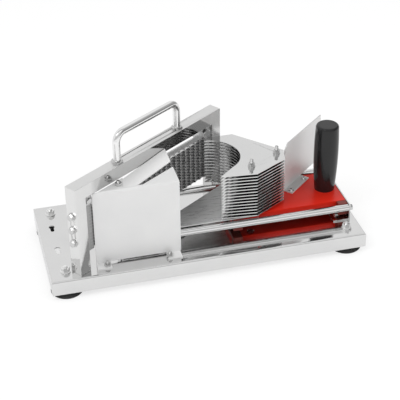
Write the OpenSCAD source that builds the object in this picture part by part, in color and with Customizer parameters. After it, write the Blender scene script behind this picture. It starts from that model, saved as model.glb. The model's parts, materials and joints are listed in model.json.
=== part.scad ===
// Bench slicer: a sliding pusher drives the food through a slanted stack of blades.
// Millimetres, +Z up. The origin is under the middle of the base, on the table.
// The carriage is drawn pulled back to the right. It slides towards -X.

/* [Base] */
// Length of the base
base_l = 430; // [400:1:480]
// Width of the base
base_w = 183; // [175:1:200]
// Depth of the folded sides of the base
base_h = 21; // [18:0.5:26]
// Gap between the folded sides and the table
base_lift = 9; // [6:0.5:14]
// Thickness of the stainless sheet
sheet_t = 1.5; // [1:0.1:2]
// Outer radius of the fold along the top edges
fold_r = 3; // [2:0.5:5]
// Diameter of the rubber feet
foot_d = 43; // [36:1:44]
// Distance of the foot centres from the ends of the base
foot_inset = 21.5; // [21.5:0.1:30]

/* [Blade frame] */
// Distance of the portal's front corner from the front edge of the base
frame_front = 5.2; // [4:0.2:8]
// Distance of the portal's rear corner from the back edge of the base
frame_back = 2.4; // [2:0.2:6]
// Height of the portal above the base
frame_h = 130; // [128:1:150]
// Slant of the portal against the length of the base, in degrees
frame_angle = 35; // [34:0.5:36]
// Width of the square portal legs
tube_w = 18; // [16:0.5:20]
// Height of the portal beam
beam_h = 19; // [18:0.5:22]
// Height of the carry handle above the beam
carry_h = 45; // [38:1:60]
// Distance between the legs of the carry handle
carry_span = 115; // [90:1:130]
// Diameter of the carry handle rod
carry_d = 10; // [8:0.5:12]

/* [Blades] */
// Number of blades
blade_count = 14; // [12:1:14]
// Slice thickness, from one blade to the next
slice = 4.7; // [4.4:0.1:4.8]
// Thickness of a blade
blade_t = 0.5; // [0.4:0.1:0.8]
// Width of a blade
blade_w = 11; // [9:0.5:11]
// Length of one wave of the cutting edge
wave_l = 10; // [8:0.5:14]
// Depth of the waves of the cutting edge
wave_h = 2; // [1:0.1:2.5]

/* [Slide] */
// Diameter of the guide rods
rod_d = 10; // [8:0.5:10]
// Distance between the guide rods
rod_span = 98.6; // [96:0.2:102]
// Height of the guide rods above the base
rod_z = 17.8; // [17:0.1:18]
// Length of the slide board
board_l = 163; // [158:1:166]
// Width of the slide board
board_w = 76; // [74:1:78]
// Thickness of the slide board
board_t = 12; // [11.5:0.1:12.5]
// Travel of the carriage
travel = 130; // [90:1:135]

/* [Pusher] */
// Thickness of a pusher plate
plate_t = 1.5; // [1:0.1:2]
// Radius of the notch that holds the food
notch_r = 42.4; // [38:0.2:44]
// Height of the hand guard above the slide board
guard_h = 74; // [60:1:85]
// Length of the hand guard
guard_l = 103; // [95:1:105]
// Height of the grip
grip_h = 101; // [85:1:115]
// Widest diameter of the grip
grip_d = 34; // [30:0.5:36]

/* [Front guard] */
// Length of the front guard
front_l = 114; // [105:1:116]
// Depth of the guard's feet on the base
front_tab = 13.5; // [13:0.5:16]
// Upward bend of the blade cover, in degrees
cover_tilt = 6; // [0:0.2:7]

/* [Hidden] */
$fn = 48;
// Clearances: holes round fasteners, the running fit on the rods, and cutting overlap
hole_gap = 0.1;
run_gap = 0.05;
stop_gap = 0.3;
cut = 1;

// Base heights
base_top = base_lift + base_h;
under = -sheet_t;
panel_l = base_l - 2 * fold_r;
panel_w = base_w - 2 * fold_r;
foot_y = base_w / 2 - foot_d / 2;
foot_x = base_l / 2 - foot_inset;
foot_places = [for (sx = [-1, 1], sy = [-1, 1]) [sx * foot_x, sy * foot_y]];
keyhole_d = 8;
keyhole_slot = 5;
keyhole_l = 9;
keyhole_inset = 18.5;
keyholes_y = [-17, 37];

// Fasteners: shank, hexagon across flats, head height, washer diameter and thickness
m5 = 5;
m5_af = 8;
m5_head = 3.5;
m5_nut = 4;
m6 = 6;
m6_af = 10;
m6_head = 4;
m8 = 8;
m8_af = 12;
m8_head = 5.5;
washer_t = 1.2;
m5_washer_d = 11;
m6_washer_d = 14;
thread_out = 3;
m4 = 4;
m4_head_d = 8.4;
m4_head = 2.4;
screw_hole = 7;
screw_spare = 1;

// Portal frame, in its own coordinates: x along it, y through it away from the food
frame_left = 39.7;
frame_x = -base_l / 2 + frame_left;
frame_y = -base_w / 2 + frame_front;
frame_l = (base_w - frame_front - frame_back - tube_w * cos(frame_angle)) / sin(frame_angle);
beam_z = frame_h - beam_h;
leg_in = frame_l - tube_w;
mid_y = tube_w / 2;
plug_h = 12;
plug_gap = 0.1;
carry_shift = 2.2;
carry_s = [for (k = [-1, 1]) frame_l / 2 + carry_shift + k * carry_span / 2];
carry_r = 13;
carry_nut_h = 3;
carry_nut_af = carry_d + 4;
frame_foot_s = [mid_y, frame_l - mid_y];

// Slide heights
rod_y = rod_span / 2;
rod_tap = 14;
board_z = rod_z + rod_d / 2 + 0.6 - board_t;
board_top = board_z + board_t;
bracket_inset = 11.7;
bracket_x = base_l / 2 - bracket_inset;
board_x1 = bracket_x - stop_gap;
board_x0 = board_x1 - board_l;
bracket_t = 2;
bracket_w = rod_span + 8;
bracket_foot = 22;
bracket_edge = 9;
bracket_h = board_top + 0.5;
slide_room = 26;
left_bracket_x = board_x0 - travel - slide_room - bracket_t;
left_bracket_h = board_top - 0.5;
bracket_hole_y = board_w / 2;
bracket_reach = bracket_foot - bracket_edge;
bracket_holes_x = [bracket_x - bracket_reach, left_bracket_x + bracket_reach];
glide_l = 13;
glide_z = board_z - 5.5;
glide_y = rod_y - 2.1;
glide_screw_y = board_w / 2 - 12;

// Pusher stack
tray_top = board_top + sheet_t;
plate_z = tray_top + 2.4;
plate_count = blade_count + 1;
stack_top = plate_z + slice * blade_count + plate_t;
gap_mid = (slice + plate_t) / 2;
board_end = [board_x0, 0];
notch_at = [-19, 9.5];
notch_c = board_end + notch_at;
tip_at = [-17, -45.5];
tip = board_end + tip_at;
tip_d = norm(tip - notch_c);
tangent_a = atan2(tip[1] - notch_c[1], tip[0] - notch_c[0]) + acos(notch_r / tip_d);
tangent_bite = 0.4;
tangent = notch_c + (notch_r - tangent_bite) * [cos(tangent_a), sin(tangent_a)];
rear_clear = 31.5;
rear_y = base_w / 2 - rear_clear;
front_corner_at = [32, -50.5];
front_corner = board_end + front_corner_at;
angled_end_at = [78.5, -23];
angled_end = board_end + angled_end_at;
right_corner_at = [83.4, -0.5];
right_corner = board_end + right_corner_at;
rear_corner_x = 27.6;
rear_corner = [board_x0 + rear_corner_x, rear_y];
prong_x = -3;
prong_out = [board_x0 + prong_x, rear_y];
prong_l = 18;
prong_in = prong_out - prong_l * [cos(frame_angle), sin(frame_angle)];
pusher_bolt_places = [[29, -30.5], [71.5, -6]];
pusher_bolts_at = [for (p = pusher_bolt_places) board_end + p];
pusher_thread = 6;
spacer_d = 10;
counterbore_d = 12;
grip_bore_d = 18;
counterbore = 6;
pusher_bore = 1.5;
tray_reach = 120;
tray_lap = 36;
tray_x0 = board_x0 - tray_reach;
tray_x1 = board_x0 + tray_lap;
tray_y = 45.2;
tray_slant = 2 * tray_y / tan(frame_angle);
tray_screw_places = [[30, -5], [30, 28]];
tray_screws_at = [for (p = tray_screw_places) board_end + p];

// Blade cartridge, inside the portal
blade_z = plate_z + gap_mid;
cart_y = mid_y + 1;
blade_y = cart_y - blade_w / 2;
post_z0 = plate_z - 0.4;
post_z1 = stack_top + 1;
post_l = [tube_w + 2, tube_w + 12];
post_r = [leg_in - 8, leg_in];
slot_gap = 0.05;
pin_d = 4;
pin_s = [post_l[1] - 2.8, leg_in - 5.4];
blade_s = [post_l[0] + 4.5, post_r[1] - 3];
bar_z = post_z1;
bar_h = 6.4;
bar_d = 3;
block_l = [13.2, 22];
block_h = 13;
block_z = post_z1;
block_s = [tube_w, leg_in - block_l[1]];
clamp_s = [for (i = [0, 1]) block_s[i] + block_l[i] / 2];
clamp_af = [m5_af, m8_af];
clamp_head = [m5_head, m8_head];
clamp_z = block_z + block_h / 2;
post_bolts_z = [for (i = [-1:1]) (post_z0 + post_z1) / 2 + 7 + 20 * i];
wave_flat = 0.6;
wave_chord = wave_l - wave_flat;
wave_r = wave_h / 2 + wave_chord * wave_chord / (8 * wave_h);
wave_count = floor((post_r[0] - post_l[1]) / wave_l);
wave_s0 = (post_r[0] + post_l[1] - (wave_count - 1) * wave_l) / 2;

// Front guard and blade cover. The guard's top flange lies just under the portal beam.
front_inset = [63, 24.5];
front_at = [-base_l / 2, -base_w / 2] + front_inset;
front_h = beam_z - 0.5;
front_gap = 3;
front_tab_l = 19;
front_tabs_x = [0, front_l - front_tab_l - 1];
front_nuts_x = [13.5, front_l - 17];
front_nut_y = -7;
front_end = front_at + [front_l, 0];
flange_y = -29.5;
slot_y = [-32, -26];
strip_y = front_at[1] + 5;
strip_s = (strip_y - frame_y - slot_y[0] * cos(frame_angle)) / sin(frame_angle);
flange_s = [39, 83];
flange_corner = [67, -16.3];
beam_gap = 0.8;
cover_bolt_sy = [67, -9];
cover_bend = 84;
cover_left = [[56, -9], [64.4, -18.4], [75.3, slot_y[1]]];
cover_end = [164.5, 147.5];

// Hand guard, in its own coordinates: x along the sheet, y away from the grip
hand_place = [87.9, 5.5];
hand_at = board_end + hand_place;
hand_angle = 42.5;
hand_foot_l = 49;
hand_foot_w = 13.5;
hand_lift = 1.8;
hand_corner = 5;
hand_screws_x = [5.5, 42.5];
hand_screw_y = -8.3;

// Grip
grip_at = [board_x1 - 17.5, 0];
grip_foot_d = grip_d - 6;
grip_belly = 0.6 * grip_h;
grip_edge = 3;
grip_sag = (grip_d - grip_foot_d) / 2;
grip_arc = (grip_belly * grip_belly + grip_sag * grip_sag) / (2 * grip_sag);
grip_top_r = grip_d / 2 - grip_arc + sqrt(grip_arc * grip_arc - pow(grip_h - grip_belly, 2));
grip_bore = 60;
cap_d = 22;
cap_h = 2;

// Shared shapes

// A hexagon prism, standing on the XY plane
module hexagon(af, h) {
  cylinder(d = af / cos(30), h = h, $fn = 6);
}

// A washer or spacer round a shank
module ring(outer, shank, h) {
  difference() {
    cylinder(d = outer, h = h);
    translate([0, 0, -cut]) cylinder(d = shank + 2 * hole_gap, h = h + 2 * cut);
  }
}

// A hexagon nut round a shank
module nut(af, shank, h) {
  difference() {
    hexagon(af, h);
    translate([0, 0, -cut]) cylinder(d = shank + 2 * hole_gap, h = h + 2 * cut);
  }
}

// A bolt hanging from its head: the head stands above z = 0, the shank goes below it
module hex_bolt(af, head, shank, length) {
  hexagon(af, head);
  translate([0, 0, -length]) cylinder(d = shank, h = length + head / 2);
}

// A round-headed screw hanging from its head
module pan_screw(length) {
  cylinder(d = m4_head_d, h = m4_head);
  translate([0, 0, -length]) cylinder(d = m4, h = length + m4_head / 2);
}

// A hole for a shank, from z = 0 down by its depth
module hole(shank, depth) {
  translate([0, 0, -depth]) cylinder(d = shank + 2 * hole_gap, h = depth + cut);
}

// Moves to the top of the base
module on_base() {
  translate([0, 0, base_top]) children();
}

// Moves into the portal's own coordinates
module in_frame() {
  translate([frame_x, frame_y, base_top]) rotate([0, 0, frame_angle]) children();
}

// Turns a piece that points up so that it points along -X or +X
module facing_left() {
  rotate([0, -90, 0]) children();
}
module facing_right() {
  rotate([0, 90, 0]) children();
}

// Moves to the left end of the front guard's foot
module in_front() {
  translate([front_at[0], front_at[1], base_top]) children();
}

// Moves into the hand guard's own coordinates, on the slide board
module in_hand() {
  translate([hand_at[0], hand_at[1], base_top + board_top]) rotate([0, 0, hand_angle]) children();
}

// Base

// What is cut off an edge along X to leave a round fold, at a top edge through the origin
module fold_cut(length) {
  difference() {
    translate([-length / 2, -cut, -fold_r]) cube([length, fold_r + cut, fold_r + cut]);
    translate([-length / 2 - cut, fold_r, -fold_r]) facing_right()
      cylinder(r = fold_r, h = length + 2 * cut);
  }
}

module keyhole(at) {
  deep = 4 * sheet_t;
  translate([at[0], at[1], -deep / 2]) {
    cylinder(d = keyhole_d, h = deep);
    translate([-keyhole_slot / 2, -keyhole_l, 0]) cube([keyhole_slot, keyhole_l, deep]);
    translate([0, -keyhole_l, 0]) cylinder(d = keyhole_slot, h = deep);
  }
}

module base_holes() {
  for (p = foot_places) translate([p[0], p[1], 0]) hole(m6, 2 * sheet_t);
  for (y = keyholes_y) keyhole([-base_l / 2 + keyhole_inset, y]);
  for (p = bracket_places()) translate([p[0], p[1], 0]) hole(m5, 2 * sheet_t);
  translate([0, 0, -base_top]) in_frame() for (s = frame_foot_s)
    translate([s, mid_y, 0]) hole(m6, 2 * sheet_t);
  translate([0, 0, -base_top]) in_front() for (x = front_nuts_x)
    translate([x, front_nut_y, 0]) hole(m5, 2 * sheet_t);
}

// The flat top of the tray, inside its folds
module base_panel() {
  color("gainsboro") on_base() difference() {
    translate([-panel_l / 2, -panel_w / 2, -sheet_t]) cube([panel_l, panel_w, sheet_t]);
    base_holes();
  }
}

// The folds and the sides of the tray, all round the panel
module base_sides() {
  color("gainsboro") on_base() difference() {
    translate([-base_l / 2, -base_w / 2, -base_h]) cube([base_l, base_w, base_h]);
    translate([-base_l / 2 + sheet_t, -base_w / 2 + sheet_t, -base_h - cut])
      cube([base_l - 2 * sheet_t, base_w - 2 * sheet_t, base_h + cut - sheet_t]);
    translate([-panel_l / 2, -panel_w / 2, -base_h]) cube([panel_l, panel_w, base_h + cut]);
    for (a = [0, 180]) rotate([0, 0, a]) translate([0, -base_w / 2, 0]) fold_cut(base_l + 2 * cut);
    for (a = [90, 270]) rotate([0, 0, a]) translate([0, -base_l / 2, 0]) fold_cut(base_w + 2 * cut);
  }
}

// A round rubber foot: a cup that flares towards the table, and a neck up to the base's underside
module rubber_foot() {
  r = foot_d / 2;
  pad_h = base_lift - 0.4;
  lip = 1.2;
  neck_r = 11;
  difference() {
    rotate_extrude() polygon([
      [0, 0], [r - lip, 0], [r, lip], [r, 2 * lip], [r - 3 * lip, pad_h - 2 * lip], [neck_r + lip, pad_h],
      [neck_r, pad_h + lip], [neck_r, base_top - sheet_t], [0, base_top - sheet_t]
    ]);
    translate([0, 0, pad_h]) cylinder(d = m6 + 2 * hole_gap, h = base_h + base_lift);
  }
}

module rubber_feet() {
  color("#222222") for (p = foot_places) translate([p[0], p[1], 0]) rubber_foot();
}

module foot_bolts() {
  color("silver") on_base() for (p = foot_places)
    translate([p[0], p[1], washer_t]) hex_bolt(m6_af, m6_head, m6, washer_t + base_h - 2);
}

module foot_washers() {
  color("silver") on_base() for (p = foot_places) translate([p[0], p[1], 0]) ring(m6_washer_d, m6, washer_t);
}

// Portal frame

// The portal's outline, moved in by a wall thickness. The inner one runs out at the feet.
module portal_shape(wall) {
  difference() {
    translate([wall, wall, -cut * min(wall, 1)])
      cube([frame_l - 2 * wall, tube_w - 2 * wall, frame_h - wall + cut * min(wall, 1)]);
    translate([tube_w - wall, -cut, -2 * cut])
      cube([frame_l - 2 * tube_w + 2 * wall, tube_w + 2 * cut, beam_z + wall + 2 * cut]);
  }
}

module blade_frame() {
  color("silver") in_frame() {
    difference() {
      portal_shape(0);
      portal_shape(sheet_t);
      for (z = post_bolts_z) translate([0, mid_y, z]) facing_right() translate([0, 0, -cut])
        cylinder(d = m5 + 2 * hole_gap, h = tube_w + 2 * cut);
      for (z = post_bolts_z) translate([leg_in, mid_y, z]) facing_right() translate([0, 0, -cut])
        cylinder(d = m5 + 2 * hole_gap, h = tube_w + 2 * cut);
      for (s = carry_s) translate([s, mid_y, frame_h]) hole(m6, 2 * sheet_t);
    }
    for (i = [0, 1]) clamp_ear(i);
  }
}

// A welded ear behind the top bar that takes a clamp bolt
module clamp_ear(i) {
  ear_y = blade_y + blade_w;
  difference() {
    translate([block_s[i], ear_y, block_z]) cube([block_l[i], sheet_t, block_h]);
    translate([clamp_s[i], ear_y + sheet_t, clamp_z]) rotate([-90, 0, 0]) hole(m5, 2 * sheet_t);
  }
}

module frame_plugs() {
  w = tube_w - 2 * sheet_t - 2 * plug_gap;
  color("dimgray") in_frame() for (s = frame_foot_s) translate([s, mid_y, 0]) difference() {
    translate([-w / 2, -w / 2, 0]) cube([w, w, plug_h]);
    translate([0, 0, -cut]) cylinder(d = m6 + 2 * hole_gap, h = plug_h + 2 * cut);
  }
}

module frame_bolts() {
  color("silver") in_frame() for (s = frame_foot_s)
    translate([s, mid_y, under]) mirror([0, 0, 1]) hex_bolt(m6_af, m6_head, m6, plug_h - 1 - under);
}

// Carry handle: a bent rod with a stud at each foot
module carry_handle() {
  carry_z = frame_h + carry_h - carry_d / 2;
  span = carry_s[1] - carry_s[0];
  color("silver") in_frame() translate([carry_s[0], mid_y, 0]) {
    for (x = [0, span]) translate([x, 0, frame_h]) cylinder(d = carry_d, h = carry_z - carry_r - frame_h);
    for (x = [0, span]) translate([x, 0, frame_h - sheet_t]) cylinder(d = m6, h = sheet_t + cut);
    translate([carry_r, 0, carry_z - carry_r]) rotate([90, 0, 180]) carry_bend();
    translate([span - carry_r, 0, carry_z - carry_r]) rotate([90, 0, 0]) carry_bend();
    translate([carry_r, 0, carry_z]) facing_right() cylinder(d = carry_d, h = span - 2 * carry_r);
  }
}

module carry_bend() {
  rotate_extrude(angle = 90) translate([carry_r, 0]) circle(d = carry_d);
}

module carry_nuts() {
  color("silver") in_frame() for (s = carry_s)
    translate([s, mid_y, frame_h]) nut(carry_nut_af, carry_d, carry_nut_h);
}

// Blade cartridge

module blade_slots(s, length) {
  for (i = [0:blade_count - 1])
    translate([s, blade_y - cut, blade_z + slice * i - blade_t / 2 - slot_gap])
      cube([length, blade_w + 2 * cut, blade_t + 2 * slot_gap]);
}

module post(range) {
  translate([range[0], blade_y, post_z0]) cube([range[1] - range[0], blade_w, post_z1 - post_z0]);
}

module pin_hole(s) {
  translate([s, cart_y, post_z0 - cut]) cylinder(d = pin_d + 2 * hole_gap, h = post_z1 - post_z0 + 2 * cut);
}

module left_post() {
  color("dimgray") in_frame() difference() {
    post(post_l);
    blade_slots(blade_s[0] - hole_gap, post_l[1]);
    pin_hole(pin_s[0]);
    for (z = post_bolts_z) translate([post_l[0], mid_y, z]) facing_left() hole(m5, 4);
  }
}

module right_post() {
  color("dimgray") in_frame() difference() {
    post(post_r);
    blade_slots(blade_s[1] + hole_gap - post_r[1], post_r[1]);
    pin_hole(pin_s[1]);
    for (z = post_bolts_z) translate([post_r[1], mid_y, z]) facing_right() hole(m5, 2.5);
  }
}

module post_bolts() {
  color("silver") in_frame() for (z = post_bolts_z) {
    translate([-washer_t, mid_y, z]) facing_left() hex_bolt(m5_af, m5_head, m5, washer_t + post_l[0] + 3.5);
    translate([frame_l + washer_t, mid_y, z]) facing_right()
      hex_bolt(m5_af, m5_head, m5, washer_t + tube_w + 2);
  }
}

module post_washers() {
  color("silver") in_frame() for (z = post_bolts_z) {
    translate([0, mid_y, z]) facing_left() ring(m5_washer_d, m5, washer_t);
    translate([frame_l, mid_y, z]) facing_right() ring(m5_washer_d, m5, washer_t);
  }
}

// One blade: a flat strip with a waved cutting edge towards the food
module blade() {
  difference() {
    translate([blade_s[0], blade_y, 0]) cube([blade_s[1] - blade_s[0], blade_w, blade_t]);
    for (s = pin_s) translate([s, cart_y, -cut]) cylinder(d = pin_d + 2 * hole_gap, h = blade_t + 2 * cut);
    for (i = [0:wave_count - 1])
      translate([wave_s0 + i * wave_l, blade_y + wave_h - wave_r, -cut])
        cylinder(r = wave_r, h = blade_t + 2 * cut);
  }
}

module blades() {
  color("gray") in_frame() for (i = [0:blade_count - 1])
    translate([0, 0, blade_z + slice * i - blade_t / 2]) blade();
}

module blade_pins() {
  color("silver") in_frame() for (s = pin_s)
    translate([s, cart_y, post_z0]) cylinder(d = pin_d, h = post_z1 - post_z0);
}

module top_bar() {
  color("lightgray") in_frame() difference() {
    union() {
      translate([tube_w, blade_y, bar_z]) cube([leg_in - tube_w, bar_d, bar_h]);
      for (i = [0, 1]) translate([block_s[i], blade_y, block_z]) cube([block_l[i], blade_w, block_h]);
    }
    for (s = clamp_s) translate([s, blade_y + blade_w + cut, clamp_z]) rotate([90, 0, 0])
      cylinder(d = m5 + 2 * hole_gap, h = blade_w + 2 * cut);
  }
}

module clamp_bolts() {
  color("silver") in_frame() for (i = [0, 1]) translate([clamp_s[i], blade_y, clamp_z]) rotate([90, 0, 0])
    hex_bolt(clamp_af[i], clamp_head[i], m5, blade_w + sheet_t + m5_nut + 1);
}

module clamp_nuts() {
  color("silver") in_frame() for (s = clamp_s)
    translate([s, blade_y + blade_w + sheet_t, clamp_z]) rotate([-90, 0, 0]) nut(m5_af, m5, m5_nut);
}

// A point in plan, from the portal's own coordinates
function in_plan(s, y) = [
  frame_x + s * cos(frame_angle) - y * sin(frame_angle),
  frame_y + s * sin(frame_angle) + y * cos(frame_angle)
];

// Front guard: an upright sheet with two feet, and a top flange folded back towards the beam
module front_guard() {
  color("gainsboro") difference() {
    union() {
      in_front() front_sheet();
      on_base() translate([0, 0, front_h - sheet_t]) front_flange();
    }
    in_front() for (x = front_nuts_x) translate([x, front_nut_y, sheet_t]) hole(m5, 2 * sheet_t);
    in_front() translate([front_l / 2, 0, front_h]) fold_cut(front_l + 2 * cut);
    on_base() translate(concat(cover_bolt_at(), front_h)) hole(m5, 2 * sheet_t);
  }
}

module front_sheet() {
  translate([0, 0, front_gap]) cube([front_l, sheet_t, front_h - front_gap]);
  for (x = front_tabs_x) translate([x, 0, 0]) {
    cube([front_tab_l, sheet_t, front_gap + cut]);
    translate([0, -front_tab, 0]) cube([front_tab_l, front_tab + sheet_t, sheet_t]);
  }
}

module front_flange() {
  corner = in_plan(flange_corner[0], flange_corner[1]);
  linear_extrude(sheet_t) polygon([
    front_at, front_end, [front_end[0], flange_y], in_plan(strip_s, slot_y[0]), [corner[0], strip_y],
    in_plan(flange_s[1], -beam_gap), in_plan(flange_s[0], -beam_gap)
  ]);
}

module guard_bolts() {
  length = 2 * sheet_t + m5_nut + thread_out;
  color("silver") in_front() for (x = front_nuts_x)
    translate([x, front_nut_y, under]) mirror([0, 0, 1]) hex_bolt(m5_af, m5_head, m5, length);
}

module guard_nuts() {
  color("silver") in_front() for (x = front_nuts_x)
    translate([x, front_nut_y, sheet_t]) nut(m5_af, m5, m5_nut);
}

function cover_bolt_at() = in_plan(cover_bolt_sy[0], cover_bolt_sy[1]);

// Blade cover: a strip along the beam, bolted under the guard's flange and bent up towards its free end
module blade_cover() {
  rise = (cover_end[0] - cover_bend) * tan(cover_tilt);
  left = cover_left[0][0];
  color("gainsboro") in_frame() translate([0, 0, front_h - 2 * sheet_t]) difference() {
    intersection() {
      translate([0, 0, -cut]) linear_extrude(rise + sheet_t + 2 * cut) polygon([
        cover_left[0], cover_left[1], cover_left[2], [cover_end[1], slot_y[1]],
        [cover_end[0], -beam_gap], [left, -beam_gap]
      ]);
      rotate([90, 0, 0]) linear_extrude(-slot_y[1] + cut) polygon([
        [left - cut, 0], [cover_bend, 0], [cover_end[0] + cut, rise],
        [cover_end[0] + cut, rise + sheet_t], [cover_bend, sheet_t], [left - cut, sheet_t]
      ]);
    }
    translate([cover_bolt_sy[0], cover_bolt_sy[1], sheet_t]) hole(m5, 2 * sheet_t);
  }
}

module cover_bolt() {
  color("silver") on_base() translate(concat(cover_bolt_at(), front_h - 2 * sheet_t)) mirror([0, 0, 1])
    hex_bolt(m5_af, m5_head, m5, 2 * sheet_t + m5_nut + thread_out);
}

module cover_nut() {
  color("silver") on_base() translate(concat(cover_bolt_at(), front_h)) nut(m5_af, m5, m5_nut);
}

// Guide rods and their end brackets

module guide_rod(y) {
  length = bracket_x - left_bracket_x - bracket_t;
  translate([left_bracket_x + bracket_t, y, rod_z]) facing_right() difference() {
    cylinder(d = rod_d, h = length);
    translate([0, 0, -cut]) cylinder(d = m5 + 2 * hole_gap, h = rod_tap + cut);
    translate([0, 0, length - rod_tap]) cylinder(d = m5 + 2 * hole_gap, h = rod_tap + cut);
  }
}

module front_rod() {
  color("silver") on_base() guide_rod(-rod_y);
}

module rear_rod() {
  color("silver") on_base() guide_rod(rod_y);
}

function bracket_places() = [
  for (x = bracket_holes_x, sy = [-1, 1]) [x, sy * bracket_hole_y]
];

module bracket_holes() {
  for (p = bracket_places()) translate([p[0], p[1], bracket_t]) hole(m5, 2 * bracket_t);
  for (sy = [-1, 1], x = [bracket_x, left_bracket_x]) translate([x - cut, sy * rod_y, rod_z]) facing_right()
    cylinder(d = m5 + 2 * hole_gap, h = bracket_t + 2 * cut);
}

module right_bracket() {
  color("silver") on_base() difference() {
    union() {
      translate([bracket_x, -bracket_w / 2, 0]) cube([bracket_t, bracket_w, bracket_h]);
      translate([bracket_x - bracket_foot, -bracket_w / 2, 0])
        cube([bracket_foot + cut, bracket_w, bracket_t]);
    }
    bracket_holes();
  }
}

module left_bracket() {
  color("silver") on_base() difference() {
    union() {
      translate([left_bracket_x, -bracket_w / 2, 0]) cube([bracket_t, bracket_w, left_bracket_h]);
      translate([left_bracket_x, -bracket_w / 2, 0]) cube([bracket_foot, bracket_w, bracket_t]);
    }
    bracket_holes();
  }
}

module rod_bolts() {
  length = bracket_t + rod_tap - 2;
  color("silver") on_base() for (sy = [-1, 1]) {
    translate([bracket_x + bracket_t, sy * rod_y, rod_z]) facing_right()
      hex_bolt(m5_af, m5_head, m5, length);
    translate([left_bracket_x, sy * rod_y, rod_z]) facing_left() hex_bolt(m5_af, m5_head, m5, length);
  }
}

module bracket_bolts() {
  low_head = 2.6;
  color("silver") on_base() for (p = bracket_places())
    translate([p[0], p[1], bracket_t]) hex_bolt(m5_af, low_head, m5, bracket_t + sheet_t + m5_nut + 1);
}

module bracket_nuts() {
  color("silver") on_base() for (p = bracket_places())
    translate([p[0], p[1], under - m5_nut]) nut(m5_af, m5, m5_nut);
}

// Carriage

module slide_board() {
  color("#c62a1e") on_base() difference() {
    translate([board_x0, -board_w / 2, board_z]) cube([board_l, board_w, board_t]);
    for (p = pusher_bolts_at) translate([p[0], p[1], board_z - cut])
      cylinder(d = counterbore_d, h = pusher_bore + cut);
    translate([grip_at[0], grip_at[1], board_z - cut]) cylinder(d = grip_bore_d, h = counterbore + cut);
    for (p = pusher_bolts_at) translate([p[0], p[1], board_top]) hole(m5, board_t);
    translate([grip_at[0], grip_at[1], board_top]) hole(m8, board_t);
    for (p = tray_screws_at) translate([p[0], p[1], board_top]) hole(m4, screw_hole);
    translate([0, 0, -base_top]) in_hand() for (x = hand_screws_x)
      translate([x, hand_screw_y, 0]) hole(m4, screw_hole);
    for (p = glide_screw_places()) translate([p[0], p[1], board_z]) mirror([0, 0, 1]) hole(m4, screw_hole);
  }
}

function glide_screw_places() = [
  for (x = [board_x0 + glide_l / 2, board_x1 - glide_l / 2], sy = [-1, 1]) [x, sy * glide_screw_y]
];

// A cross bar under the board whose upturned ends run along the inner sides of the rods
module glide_bar() {
  side = glide_y - board_w / 2;
  difference() {
    union() {
      translate([0, -glide_y, glide_z]) cube([glide_l, 2 * glide_y, board_z - glide_z]);
      for (y = [-glide_y, board_w / 2]) translate([0, y, glide_z])
        cube([glide_l, side, board_top - 0.2 - glide_z]);
    }
    for (y = [-rod_y, rod_y]) translate([-cut, y, rod_z]) facing_right()
      cylinder(r = rod_d / 2 + run_gap, h = glide_l + 2 * cut);
    for (sy = [-1, 1]) translate([glide_l / 2, sy * glide_screw_y, 0]) {
      translate([0, 0, glide_z - cut]) cylinder(d = m4_head_d + 1, h = m4_head + cut);
      translate([0, 0, board_z]) hole(m4, board_z - glide_z);
    }
  }
}

module glide_bars() {
  color("#8c2f26") on_base() for (x = [board_x0, board_x1 - glide_l]) translate([x, 0, 0]) glide_bar();
}

module glide_screws() {
  length = board_z - glide_z - m4_head + screw_hole - screw_spare;
  color("silver") on_base() for (p = glide_screw_places())
    translate([p[0], p[1], glide_z + m4_head]) mirror([0, 0, 1]) pan_screw(length);
}

module tray_plate() {
  color("gainsboro") on_base() difference() {
    translate([0, 0, board_top]) linear_extrude(sheet_t)
      polygon([[tray_x0, -tray_y], [tray_x1, -tray_y], [tray_x1, tray_y], [tray_x0 + tray_slant, tray_y]]);
    translate([pusher_bolts_at[0][0], pusher_bolts_at[0][1], tray_top]) hole(m5, 2 * sheet_t);
    for (p = tray_screws_at) translate([p[0], p[1], tray_top]) hole(m4, 2 * sheet_t);
  }
}

module tray_screws() {
  low_head = 1.6;
  tray_screw_l = sheet_t + screw_hole - screw_spare;
  color("silver") on_base() for (p = tray_screws_at) translate([p[0], p[1], tray_top]) {
    cylinder(d = m4_head_d, h = low_head);
    translate([0, 0, -tray_screw_l]) cylinder(d = m4, h = tray_screw_l + low_head / 2);
  }
}

// One pusher plate: a flat sheet with a round notch that opens towards the blades
module pusher_plate() {
  difference() {
    linear_extrude(plate_t) polygon([
      tip, front_corner, angled_end, right_corner, rear_corner, prong_out, prong_in, notch_c, tangent
    ]);
    translate([notch_c[0], notch_c[1], -cut]) cylinder(r = notch_r, h = plate_t + 2 * cut, $fn = 96);
    for (p = pusher_bolts_at) translate([p[0], p[1], plate_t]) hole(m5, 2 * plate_t);
  }
}

module pusher_plates() {
  color("lightgray") on_base() for (i = [0:plate_count - 1])
    translate([0, 0, plate_z + slice * i]) pusher_plate();
}

module pusher_spacers() {
  seats = [tray_top, board_top];
  color("darkgray") on_base() for (k = [0, 1]) translate([pusher_bolts_at[k][0], pusher_bolts_at[k][1], 0]) {
    translate([0, 0, seats[k]]) ring(spacer_d, m5, plate_z - seats[k]);
    for (i = [0:blade_count - 1]) translate([0, 0, plate_z + slice * i + plate_t])
      ring(spacer_d, m5, slice - plate_t);
  }
}

module pusher_bolts() {
  seat = board_z + pusher_bore;
  length = stack_top - seat + washer_t + m5_nut + pusher_thread;
  color("silver") on_base() for (p = pusher_bolts_at)
    translate([p[0], p[1], seat]) mirror([0, 0, 1]) hex_bolt(m5_af, m5_head, m5, length);
}

module pusher_washers() {
  color("silver") on_base() for (p = pusher_bolts_at)
    translate([p[0], p[1], stack_top]) ring(spacer_d, m5, washer_t);
}

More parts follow.
